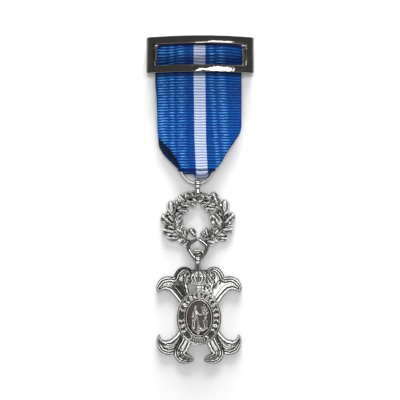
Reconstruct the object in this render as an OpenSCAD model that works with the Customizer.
// Order cross on a folded ribbon, lying on its back, in millimetres.
// X runs to the right, Y runs up the ribbon to the buckle, and Z runs out of the front.
// The origin is under the middle of the whole piece, on the surface that it lies on.

/* [Buckle] */
// Width of the buckle from side to side
buckle_w = 37.4; // [36.8:0.2:38.4]
// Height of the buckle from its lower to its upper edge
buckle_h = 12.6; // [12:0.2:13.4]
// Thickness of the bowed plate
buckle_t = 1.4; // [1:0.1:1.5]
// How far the middle of the plate stands above its ends
buckle_rise = 3.2; // [2.8:0.1:3.6]
// Width of the bar over the window
upper_bar = 2.7; // [2.2:0.1:3.2]
// Width of the bar under the window
lower_bar = 2.4; // [2:0.1:2.8]
// Width of each side of the window
side_bar = 3; // [2.6:0.1:3.4]
// Thickness of the cheeks that carry the back bar
cheek_t = 1.5; // [1:0.1:1.6]

/* [Brooch pin] */
// Height of the back bar, up the ribbon
bar_h = 5.8; // [4:0.1:6]
// Thickness of the back bar
bar_t = 1; // [0.8:0.1:1]
// Diameter of the pin's wire
pin_d = 0.8; // [0.6:0.1:0.9]

/* [Ribbon] */
// Width of the ribbon
ribbon_w = 29.6; // [28.8:0.2:30]
// Thickness of the ribbon's wall
ribbon_t = 1; // [0.8:0.05:1]

/* [Suspension ring] */
// Diameter of the ring at the middle of its wire
ring_d = 11.34; // [11:0.02:11.6]
// Diameter of the ring's wire
ring_wire = 0.96; // [0.8:0.02:1]

/* [Wreath] */
// Thickness of one leaf at its edge
leaf_t = 0.5; // [0.4:0.05:0.7]
// Height of a leaf's midrib over its edge
leaf_rise = 0.55; // [0.3:0.05:0.8]
// Width of a branch
branch_w = 1.2; // [0.8:0.1:1.6]
// Width of the stirrup's wire
stirrup_w = 1.15; // [0.9:0.05:1.3]

/* [Eyes] */
// Width of an eye from side to side
eye_w = 1.9; // [1.4:0.1:2]
// Radius of the hole in an eye
eye_r = 0.8; // [0.75:0.05:0.85]
// Thickness of the metal round an eye's hole
eye_wall = 0.52; // [0.4:0.02:0.6]

/* [Cross] */
// Thickness of the cross's plate
cross_t = 1.4; // [1.1:0.1:1.6]
// Width of the raised rim along its edges
rim_w = 0.6; // [0.4:0.05:0.8]
// Height of the rim over the plate
rim_rise = 0.6; // [0.3:0.05:0.8]

/* [Crown] */
// Width of the crown across its arches
crown_w = 5.6; // [5:0.1:6]
// Height of the crown with its band
crown_h = 5.2; // [4.8:0.1:5.4]
// Thickness of the crown under its arches
crown_t = 1.2; // [1:0.1:1.4]

/* [Medallion] */
// Width of the oval over its outer rim
oval_w = 15.8; // [15:0.1:16.4]
// Height of the oval over its outer rim
oval_h = 18.8; // [18:0.1:19.4]
// Width of the oval opening that shows the centre
centre_w = 7.8; // [7.4:0.1:8.2]
// Height of that opening
centre_h = 11.4; // [11:0.1:11.8]
// Thickness of the band under its rims
band_t = 1.4; // [1:0.1:1.6]
// Number of places for the small bars round the band
bar_places = 40; // [32:1:44]

/* [Hidden] */
$fn = 48;

nickel = "#9a9792";
silver = "#c9c9c8";
ribbon_blue = "#1f5ba8";
dark_silver = "#4a4643";

// Gap kept between two pieces that are laid or fitted together
fit_gap = 0.1;
// Cut-outs run this far past the faces that they open
over = 1;

// Places, up the ribbon, of the pieces that hang on each other
buckle_y = 50.3;
bar_y = 51.3;
hem_y = 54.6;
ring_y = 11.55;
wreath_y = -6.55;
cross_y = -40.65;
// Places across the ribbon: the drop hangs a little to the left of the buckle's middle
ribbon_x = -0.3;
ring_x = -1.1;
wreath_x = -0.93;
cross_x = -0.4;
eye_x = -0.87;

// Heights over the surface
back_z = ribbon_t / 2;
ring_z = 1.6;
bar_z = ribbon_t + fit_gap;
front_z = bar_z + bar_t + fit_gap + ribbon_t / 2;
buckle_z = front_z + ribbon_t / 2 + 0.2;
overlay_z = cross_t + fit_gap;

// One point in space between two others
function mix_of(a, b, share) = a + (b - a) * share;
// Smooth curve through the rows of a table, with the given number of steps between rows
function spline_row(rows, i, s) =
    let (last = len(rows) - 1,
         a = i > 0 ? rows[i - 1] : 2 * rows[0] - rows[1],
         b = rows[i],
         c = rows[i + 1],
         d = i + 2 <= last ? rows[i + 2] : 2 * rows[last] - rows[last - 1])
    (2 * b + (c - a) * s + (2 * a - 5 * b + 4 * c - d) * s * s
        + (3 * b - a - 3 * c + d) * s * s * s) / 2;
function spline(rows, steps) =
    [for (i = [0 : len(rows) - 2], k = [0 : steps - 1]) spline_row(rows, i, k / steps),
     rows[len(rows) - 1]];

// An oval centred on the origin
module oval(w, h) {
    scale([w / h, 1]) circle(d = h, $fn = 72);
}

// A flat strip with round ends between two points
module strip(a, b, w) {
    run = b - a;
    translate(a) circle(d = w, $fn = 8);
    translate(b) circle(d = w, $fn = 8);
    translate(a) rotate(atan2(run[1], run[0])) translate([0, -w / 2]) square([norm(run), w]);
}

// Strips joined end to end through the points of a table
module strip_chain(points, w) {
    for (i = [0 : len(points) - 2]) strip(points[i], points[i + 1], w);
}

// The round body of an eye, whose hole runs from side to side
module eye_body(r) {
    rotate([0, 90, 0]) cylinder(r = r, h = eye_w, center = true, $fn = 24);
}
module eye_hole() {
    rotate([0, 90, 0]) cylinder(r = eye_r, h = eye_w + 2 * over, center = true, $fn = 24);
}

// Buckle: a bowed plate with a window, and a cheek behind each end
plate_r = (pow(buckle_w / 2, 2) + pow(buckle_rise, 2)) / (2 * buckle_rise);
plate_top = buckle_z + buckle_t + buckle_rise;

module bowed_plate() {
    axis_z = plate_top - plate_r;
    difference() {
        intersection() {
            translate([0, buckle_y, axis_z]) rotate([90, 0, 0])
                cylinder(r = plate_r, h = buckle_h, center = true, $fn = 200);
            translate([-buckle_w / 2, buckle_y - buckle_h / 2, buckle_z - over])
                cube([buckle_w, buckle_h, buckle_rise + buckle_t + 2 * over]);
        }
        translate([0, buckle_y, axis_z]) rotate([90, 0, 0])
            cylinder(r = plate_r - buckle_t, h = buckle_h + 2 * over, center = true, $fn = 200);
    }
}

module buckle_window() {
    window_w = buckle_w - 2 * side_bar;
    window_h = buckle_h - upper_bar - lower_bar;
    translate([-window_w / 2, buckle_y - buckle_h / 2 + lower_bar, buckle_z - over])
        cube([window_w, window_h, buckle_rise + buckle_t + 3 * over]);
}

module buckle_frame() {
    cheek_h = buckle_h - 1.6;
    color(nickel) {
        difference() {
            bowed_plate();
            buckle_window();
        }
        for (side = [-1, 1])
            translate([side * (buckle_w - cheek_t) / 2, buckle_y, (buckle_z + buckle_t / 2) / 2])
                cube([cheek_t, cheek_h, buckle_z + buckle_t / 2], center = true);
    }
}

// Back bar and pin: one plain piece between the buckle's cheeks
module brooch_pin() {
    bar_w = buckle_w - 2 * cheek_t - 0.4;
    foot_w = 1.5;
    foot_y = 45.4;
    pin_y = 46.3;
    pin_z = 0.5;
    foot_x = bar_w / 2 - foot_w / 2 - 0.1;
    color(nickel) {
        translate([-bar_w / 2, bar_y - bar_h / 2, bar_z]) cube([bar_w, bar_h, bar_t]);
        for (side = [-1, 1])
            translate([side * foot_x - foot_w / 2, foot_y, 0])
                cube([foot_w, bar_y - foot_y, bar_z + bar_t / 2]);
        translate([-foot_x, pin_y, pin_z]) rotate([0, 90, 0])
            cylinder(d = pin_d, h = 2 * foot_x);
    }
}

// Ribbon: one strip that starts behind the back bar, turns over it, runs down the front,
// folds through the ring and comes back up behind.
fold_reach = 1.1;
// The lowest line of the fold follows the inside of the ring, and is higher on its left part
function fold_line(x) =
    let (room = ring_d / 2 - ring_wire / 2 - 0.35,
         ring_side = ring_y - sqrt(max(room * room - pow(x - ring_x, 2), 0.3)),
         step_share = min(max((x + 2.2) / 1.2, 0), 1))
    max(mix_of(9.0, 7.45, step_share), ring_side) + ribbon_t / 2;

// Columns: place up the ribbon, layer (0 back, 1 front), left edge and right edge as shares
// of the half width, bow of the middle, and how far the row follows the fold's line.
function turn_rows(y, way, left, right, bow, follows) =
    [for (a = [-60 : 30 : 60])
        [y + way * fold_reach * (follows > 0 ? 1 - cos(a) : cos(a)),
         (1 - (follows > 0 ? 1 : -1) * sin(a)) / 2, left, right, bow, follows]];
hem_rows = [
    [49.0, 0, -0.985, 1.0, 3.0, 0],
    [52.0, 0, -0.985, 1.0, 3.0, 0],
    [54.6, 0, -0.985, 1.0, 3.0, 0]];
front_rows = [
    [54.6, 1, -0.985, 1.0, 3.0, 0],
    [50.3, 1, -0.990, 1.0, 3.0, 0],
    [44.0, 1, -1.030, 1.0, 2.8, 0],
    [38.0, 1, -1.025, 1.0, 2.1, 0],
    [32.0, 1, -1.015, 1.0, 1.3, 0],
    [26.7, 1, -1.000, 1.0, 0.8, 0],
    [24.3, 1, -0.990, 0.98, 0.6, 0],
    [22.9, 1, -0.980, 0.94, 0.5, 0],
    [21.0, 1, -0.960, 0.85, 0.4, 0],
    [19.0, 1, -0.940, 0.77, 0.3, 0],
    [17.6, 1, -0.900, 0.70, 0.2, 0],
    [16.0, 1, -0.825, 0.63, 0.2, 0],
    [13.6, 1, -0.680, 0.54, 0.1, 0],
    [11.9, 1, -0.560, 0.46, 0, 0],
    [fold_reach, 1, -0.385, 0.285, 0, 1]];
back_rows = [
    [fold_reach, 0, -0.335, 0.235, 0, 1],
    [12.6, 0, -0.50, 0.38, 0, 0],
    [16.5, 0, -0.62, 0.49, 0, 0],
    [20.0, 0, -0.66, 0.52, 0, 0]];
ribbon_rows = concat(hem_rows, turn_rows(hem_y, 1, -0.985, 1.0, 3.0, 0), front_rows,
                     turn_rows(0, 1, -0.345, 0.245, 0, 1), back_rows);
ribbon_columns = 14;

function ribbon_mid(i, j) =
    let (row = ribbon_rows[i],
         across = mix_of(row[2], row[3], j / ribbon_columns),
         x = ribbon_x + across * ribbon_w / 2,
         front = front_z + row[4] * (1 - across * across),
         y = row[0] + row[5] * fold_line(x))
    [x, y, mix_of(back_z, front, row[1])];
function ribbon_point(i, j, side) =
    let (last = len(ribbon_rows) - 1,
         run = ribbon_mid(min(i + 1, last), j) - ribbon_mid(max(i - 1, 0), j),
         size = norm([run[1], run[2]]))
    ribbon_mid(i, j) + side * ribbon_t / 2 * [0, -run[2], run[1]] / size;

module ribbon() {
    rows = len(ribbon_rows);
    cols = ribbon_columns + 1;
    inner = rows * cols;
    points = [for (side = [1, -1], i = [0 : rows - 1], j = [0 : cols - 1])
        ribbon_point(i, j, side)];
    outer_faces = [for (i = [0 : rows - 2], j = [0 : cols - 2])
        let (a = i * cols + j) [a, a + cols, a + cols + 1, a + 1]];
    inner_faces = [for (i = [0 : rows - 2], j = [0 : cols - 2])
        let (a = inner + i * cols + j) [a, a + 1, a + cols + 1, a + cols]];
    left_faces = [for (i = [0 : rows - 2])
        let (a = i * cols) [a, inner + a, inner + a + cols, a + cols]];
    right_faces = [for (i = [0 : rows - 2])
        let (a = i * cols + cols - 1) [a, a + cols, inner + a + cols, inner + a]];
    first_faces = [for (j = [0 : cols - 2]) [j, j + 1, inner + j + 1, inner + j]];
    last_faces = [for (j = [0 : cols - 2])
        let (a = (rows - 1) * cols + j) [a, inner + a, inner + a + 1, a + 1]];
    color(ribbon_blue)
        polyhedron(points, concat(outer_faces, inner_faces, left_faces, right_faces,
                                  first_faces, last_faces), convexity = 8);
}

// Suspension ring: round wire in the ribbon's fold
module suspension_ring() {
    color(silver) translate([ring_x, ring_y, ring_z])
        rotate_extrude() translate([ring_d / 2, 0]) circle(d = ring_wire);
}

// Wreath. Columns of a leaf: base x, base y, tip x, tip y, width, lift, from the wreath's middle.
left_leaves = [
    [-2.6, -7.2, -5.1, -9.4, 1.7, 0.6],
    [-3.7, -6.5, -6.7, -8.2, 1.5, 0.2],
    [-5.8, -6.8, -10.7, -6.4, 1.9, 0.0],
    [-7.2, -4.7, -12.5, -3.3, 2.5, 0.4],
    [-8.6, -2.1, -12.6, 1.6, 2.4, 0.2],
    [-8.8, 1.4, -9.5, 6.5, 2.4, 0.5],
    [-7.4, 3.5, -7.0, 6.8, 1.4, 0.2],
    [-4.0, 5.9, -6.6, 8.4, 2.1, 0.4],
    [-2.3, 7.3, -4.7, 9.1, 1.8, 0.2],
    [-0.5, 7.7, -2.6, 9.4, 1.6, 0.5],
    [-6.8, 3.2, -3.1, 2.8, 1.5, 0.9],
    [-6.1, 4.6, -2.6, 4.7, 1.7, 0.5],
    [-3.5, 6.1, -0.4, 4.7, 1.5, 0.8],
    [-7.7, -0.2, -5.2, 1.9, 1.6, 0.9],
    [-7.5, -2.5, -5.4, 0.5, 1.6, 0.6],
    [-6.5, -4.9, -5.2, -1.7, 1.7, 0.8],
    [-4.0, -6.1, -4.5, -3.3, 1.8, 0.6],
    [-0.5, -6.3, -2.9, -3.2, 2.1, 0.9],
    [-4.7, -4.9, -7.5, -3.3, 2.0, 0.9]];
right_leaves = [
    [2.6, -7.7, 6.3, -8.2, 2.1, 0.6],
    [2.3, -7.5, 4.9, -9.4, 1.4, 0.2],
    [6.5, -6.3, 10.7, -6.6, 1.9, 0.0],
    [8.2, -3.8, 12.7, -3.3, 2.1, 0.4],
    [8.9, -2.8, 12.5, -1.9, 1.4, 0.2],
    [9.4, -1.0, 13.0, 2.1, 2.3, 0.2],
    [9.3, 1.6, 9.6, 7.0, 2.6, 0.4],
    [7.3, 4.0, 5.2, 9.5, 2.2, 0.5],
    [4.9, 5.8, 2.6, 8.6, 1.8, 0.2],
    [2.3, 7.0, 0.5, 9.3, 1.5, 0.4],
    [3.7, 5.6, 1.0, 4.6, 1.4, 0.8],
    [7.2, 3.3, 2.5, 4.0, 1.9, 0.7],
    [6.6, 2.1, 3.5, 2.8, 1.3, 0.9],
    [8.6, -2.8, 4.9, 1.9, 2.7, 0.9],
    [6.6, -4.4, 4.7, -2.4, 1.7, 0.7],
    [3.7, -6.3, 2.9, -3.0, 1.9, 0.8],
    [3.3, -6.6, 1.1, -4.4, 1.6, 0.5],
    [5.8, -5.6, 7.5, -3.5, 2.0, 0.9]];
left_branch = [[-2.6, -7.5], [-5.8, -5.6], [-8.0, -1.8], [-7.7, 3.5], [-5.1, 6.3],
               [-2.3, 7.5], [0.5, 7.9]];
right_branch = [[3.0, -7.9], [6.5, -5.8], [8.7, -2.3], [8.4, 2.8], [5.9, 5.9],
                [2.6, 7.0], [-0.2, 7.4]];
stirrup_points = [[0.1, -6.8], [-2.8, -8.6], [-3.2, -10.0], [-2.4, -11.6], [-1.1, -13.3],
                  [0.1, -14.0], [1.4, -13.2], [2.8, -11.4], [3.3, -10.0], [2.8, -8.7],
                  [0.1, -6.8]];
stirrup_z = 0.95;
stirrup_t = 1.1;
web_z = 0.35;
web_t = 0.72;
branch_rise = 0.6;
twig_w = 0.7;

// A pointed leaf seen flat, from its base to its tip, and the leaf with a raised middle
leaf_sides = [[0.03, 0.30], [0.25, 0.84], [0.6, 1.0], [0.86, 0.52], [1, 0.08]];
middle_w = 0.45;

module leaf_shape(long, half) {
    last = len(leaf_sides) - 1;
    polygon(concat([for (p = leaf_sides) [p[0] * long, p[1] * half]],
                   [for (i = [last : -1 : 0])
                       [leaf_sides[i][0] * long, -leaf_sides[i][1] * half]]));
}

module leaf(row, lift) {
    run = [row[2] - row[0], row[3] - row[1]];
    long = norm(run);
    half = row[4] / 2;
    translate([row[0], row[1], lift]) rotate([0, 0, atan2(run[1], run[0])]) {
        linear_extrude(leaf_t) leaf_shape(long, half);
        translate([0.1 * long, 0, 0])
            linear_extrude(leaf_t + leaf_rise) leaf_shape(0.72 * long, middle_w * half);
    }
}

// The point of a branch that lies nearest to a place
function nearest_on(a, b, p) =
    let (run = b - a, share = min(max((p - a) * run / (run * run), 0), 1)) a + share * run;
function nearest_point(line, p) =
    let (ends = [for (i = [0 : len(line) - 2]) nearest_on(line[i], line[i + 1], p)],
         gaps = [for (q = ends) norm(q - p)],
         best = min(gaps))
    [for (i = [0 : len(ends) - 1]) if (gaps[i] == best) ends[i]][0];

// The leaves of one branch, none quite level with the next
module leaves_of(table) {
    for (i = [0 : len(table) - 1]) leaf(table[i], table[i][5] + 0.007 * i);
}

// A branch seen flat, with a short twig to each leaf
module twigs_of(table, line) {
    for (row = table) {
        base = [row[0], row[1]];
        inside = base + 0.3 * ([row[2], row[3]] - base);
        strip(nearest_point(line, base), inside, twig_w);
    }
}

// The stirrup seen flat: a bent wire, filled in at the bottom, with a slot for the cross's eye
module stirrup_shape() {
    slot_w = eye_w + 0.5;
    slot_top = -12.6;
    slot_low = -13.85;
    edge = [[-2.3, -11.4], [-1.6, -10.9], [-0.6, -10.6], [0.5, -10.6], [1.5, -10.9], [2.4, -11.4],
            [1.4, -13.2], [0.8, -14.5], [-0.6, -14.5], [-1.1, -13.3]];
    difference() {
        offset(delta = 0.02) {
            strip_chain(stirrup_points, stirrup_w);
            polygon(edge);
        }
        translate([eye_x - wreath_x - slot_w / 2, slot_low])
            square([slot_w, slot_top - slot_low]);
    }
}

module wreath_castings() {
    berries = [[5.4, -1.3], [-6.9, -1.0], [-6.2, 6.6], [7.7, -1.1]];
    translate([0, 0, web_z]) linear_extrude(web_t) offset(delta = 0.02) {
        strip_chain(left_branch, branch_w);
        strip_chain(right_branch, branch_w);
        twigs_of(left_leaves, left_branch);
        twigs_of(right_leaves, right_branch);
    }
    translate([0, 0, web_z + web_t]) linear_extrude(branch_rise) {
        offset(delta = -0.12) strip_chain(left_branch, branch_w);
        offset(delta = -0.12) strip_chain(right_branch, branch_w);
    }
    translate([0, 0, stirrup_z]) linear_extrude(stirrup_t) stirrup_shape();
    leaves_of(left_leaves);
    leaves_of(right_leaves);
    for (p = berries) translate([p[0], p[1], 0.4]) cylinder(d = 1.3, h = 1.43, $fn = 8);
}

module wreath() {
    eye_y = ring_y - ring_d / 2 - 0.13;
    color(silver) {
        translate([wreath_x, wreath_y, 0]) wreath_castings();
        difference() {
            union() {
                translate([eye_x, eye_y, ring_z]) eye_body(eye_r + eye_wall);
                translate([eye_x - eye_w / 2, eye_y - 3.9, ring_z - 0.9])
                    cube([eye_w, 3.2, 1.6]);
            }
            translate([eye_x, eye_y, ring_z]) eye_hole();
        }
    }
}

// Cross. Columns of a prong: x, y and half width along its middle, from the oval's middle.
upper_inner = [[4.2, 5.0, 2.1], [5.8, 9.0, 2.25], [6.6, 12.7, 2.4], [5.8, 15.3, 2.05],
               [4.05, 16.05, 1.25], [2.85, 15.3, 0.65], [2.75, 14.4, 0.25]];
upper_outer = [[4.2, 5.0, 2.1], [6.5, 8.7, 2.4], [9.3, 11.45, 2.45], [11.9, 11.6, 2.2],
               [13.4, 10.45, 1.4], [13.95, 9.35, 0.7], [13.85, 8.65, 0.25]];
lower_outer = [[3.5, -3.4, 2.45], [6.1, -7.4, 2.3], [9.1, -10.1, 2.5], [11.75, -10.1, 2.4],
               [13.5, -8.65, 1.3], [13.95, -7.1, 0.6], [13.7, -6.0, 0.2]];
lower_inner = [[3.15, -4.45, 2.1], [4.9, -8.45, 2.2], [6.4, -11.55, 2.3], [5.9, -13.7, 2.05],
               [4.05, -14.7, 1.3], [2.65, -14.8, 0.7], [1.7, -14.5, 0.25]];
prongs = [upper_inner, upper_outer, lower_outer, lower_inner];
prong_steps = 4;

// The way across a prong at one of its points
function across_at(rows, i) =
    let (last = len(rows) - 1,
         run = rows[min(i + 1, last)] - rows[max(i - 1, 0)],
         size = norm([run[0], run[1]]))
    [-run[1], run[0]] / size;

// The flat shape of a prong, between two shares of its half width
module prong_shape(table, from, to) {
    rows = spline(table, prong_steps);
    for (i = [0 : len(rows) - 2]) {
        a = rows[i];
        b = rows[i + 1];
        wa = a[2] * across_at(rows, i);
        wb = b[2] * across_at(rows, i + 1);
        pa = [a[0], a[1]];
        pb = [b[0], b[1]];
        polygon([pa + from * wa, pb + from * wb, pb + to * wb, pa + to * wa]);
    }
}

module both_sides() {
    for (side = [1, -1]) scale([side, 1]) children();
}

module cross_outline() {
    neck = [[-0.9, 8.4], [2.5, 8.4], [2.5, 13.0], [-0.9, 13.0]];
    offset(r = 0.15) offset(delta = -0.15) {
        both_sides() for (table = prongs) prong_shape(table, -1, 1);
        oval(oval_w - 1.2, oval_h - 1.2);
        polygon(neck);
        translate([-0.2, 14.2]) square([5.6, 5.0], center = true);
    }
}

// The places that the crown and the oval cover, where the plate stays flat
module covered_places() {
    translate([-0.2, 15.2]) square([6.4, 8.0], center = true);
    oval(oval_w, oval_h);
}

module cross_rim() {
    difference() {
        cross_outline();
        offset(delta = -rim_w) cross_outline();
        covered_places();
    }
}

module cross_ribs() {
    difference() {
        offset(delta = 0.01) both_sides() for (table = prongs) prong_shape(table, -0.12, 0.12);
        covered_places();
    }
}

module cross() {
    eye_y = wreath_y - 14.2 - cross_y;
    eye_z = 1.5;
    stem_low = 16.7;
    color(silver) translate([cross_x, cross_y, 0]) difference() {
        union() {
            linear_extrude(cross_t) cross_outline();
            translate([0, 0, cross_t]) linear_extrude(rim_rise) cross_rim();
            translate([0, 0, cross_t]) linear_extrude(rim_rise * 0.6) cross_ribs();
            translate([eye_x - cross_x, eye_y, eye_z]) eye_body(eye_r + eye_wall);
            translate([eye_x - cross_x - eye_w / 2, stem_low, 0.5])
                cube([eye_w, eye_y - stem_low - eye_r, 1.6]);
        }
        translate([eye_x - cross_x, eye_y, eye_z]) eye_hole();
    }
}

// Crown: a beaded band, a closed cap and the arches that meet at its top
module crown() {
    band_w = crown_w - 0.5;
    band_h = 1.1;
    bead_gap = 0.95;
    cap_h = crown_h - band_h;
    color(silver) translate([cross_x - 0.15, cross_y + 11.3, overlay_z]) {
        linear_extrude(crown_t) union() {
            translate([-band_w / 2, 0]) square([band_w, band_h]);
            intersection() {
                translate([0, band_h + cap_h * 0.42]) oval(crown_w, cap_h * 1.3);
                translate([-crown_w / 2, band_h]) square([crown_w, cap_h]);
            }
        }
        for (low = [0.1, band_h - 0.25])
            translate([-band_w / 2, low, crown_t / 2]) cube([band_w, 0.22, crown_t / 2 + 0.3]);
        for (i = [-2 : 2])
            translate([i * bead_gap, band_h / 2, crown_t / 2])
                cylinder(d = 0.55, h = crown_t / 2 + 0.35, $fn = 8);
        for (share = [-0.78, -0.4, 0, 0.4, 0.78]) {
            foot = [share * crown_w / 2, band_h + 0.2];
            bulge = [share * crown_w / 2 * 1.12, band_h + cap_h * 0.45];
            top = [share * crown_w / 2 * 0.35, band_h + cap_h * 0.9];
            for (ends = [[foot, bulge], [bulge, top]]) arch_bar(ends[0], ends[1]);
        }
    }
}

module arch_bar(a, b) {
    run = b - a;
    translate([a[0], a[1], crown_t / 2]) rotate([0, 0, atan2(run[1], run[0])])
        translate([0, -0.2, 0]) cube([norm(run), 0.4, crown_t / 2 + 0.4]);
}

// Medallion: an oval band between two rims, with small raised bars round it
outer_rim = 0.9;
inner_rim = 0.85;
function oval_point(w, h, a) = [w / 2 * cos(a), h / 2 * sin(a)];

module oval_ring(w, h, hole_w, hole_h, t) {
    linear_extrude(t) difference() {
        oval(w, h);
        oval(hole_w, hole_h);
    }
}

module medallion_band() {
    bar_long = 1.5;
    bar_wide = 0.45;
    bar_rise = 0.35;
    rim_t = band_t + 0.7;
    ring_w = centre_w + 2 * inner_rim;
    ring_h = centre_h + 2 * inner_rim;
    mid_w = (oval_w - 2 * outer_rim + ring_w) / 2;
    mid_h = (oval_h - 2 * outer_rim + ring_h) / 2;
    color(silver) translate([cross_x, cross_y, overlay_z]) {
        oval_ring(oval_w, oval_h, centre_w, centre_h, band_t);
        oval_ring(oval_w, oval_h, oval_w - 2 * outer_rim, oval_h - 2 * outer_rim, rim_t);
        oval_ring(ring_w, ring_h, centre_w, centre_h, rim_t);
        for (i = [0 : bar_places - 1]) {
            a = i * 360 / bar_places;
            bare = (a > 228 && a < 252) || (a > 288 && a < 312);
            place = oval_point(mid_w, mid_h, a);
            if (!bare)
                translate([place[0], place[1], band_t]) rotate([0, 0, a])
                    cube([bar_long, bar_wide, 2 * bar_rise], center = true);
        }
    }
}

// Centre of the medallion: a dark oval with a draped figure beside a tall vase, in low relief
module figure_shape() {
    robe = [[-1.3, -3.9], [1.25, -3.9], [0.75, -1.2], [0.85, 1.0], [0.45, 1.9], [-0.45, 1.9],
            [-0.85, 0.9], [-0.55, -1.0]];
    offset(r = 0.12) offset(delta = -0.12) polygon(robe);
    translate([0, 2.55]) scale([0.85, 1]) circle(d = 1.25, $fn = 24);
}

module vase_shape() {
    vase = [[-0.7, -3.9], [0.7, -3.9], [0.3, -3.2], [0.8, -2.0], [0.75, -1.2], [0.3, -0.6],
            [0.5, -0.2], [-0.5, -0.2], [-0.3, -0.6], [-0.75, -1.2], [-0.8, -2.0], [-0.3, -3.2]];
    polygon(vase);
}

module medallion_plaque() {
    plate_t = 1.1;
    relief = 0.45;
    arm = [[0.2, 1.2], [1.5, 0.1], [2.5, 0.9], [2.3, 1.2], [1.5, 0.6], [0.3, 1.7]];
    color(dark_silver) translate([cross_x, cross_y, overlay_z]) {
        linear_extrude(plate_t) oval(centre_w - 2 * fit_gap, centre_h - 2 * fit_gap);
        translate([-1.1, 0, plate_t]) linear_extrude(relief) {
            figure_shape();
            polygon(arm);
        }
        translate([1.9, 0, plate_t]) linear_extrude(relief) vase_shape();
        translate([0, -4.15, plate_t]) linear_extrude(relief) square([4.4, 0.5], center = true);
    }
}

buckle_frame();
brooch_pin();
ribbon();
suspension_ring();
wreath();
cross();
crown();
medallion_band();
medallion_plaque();
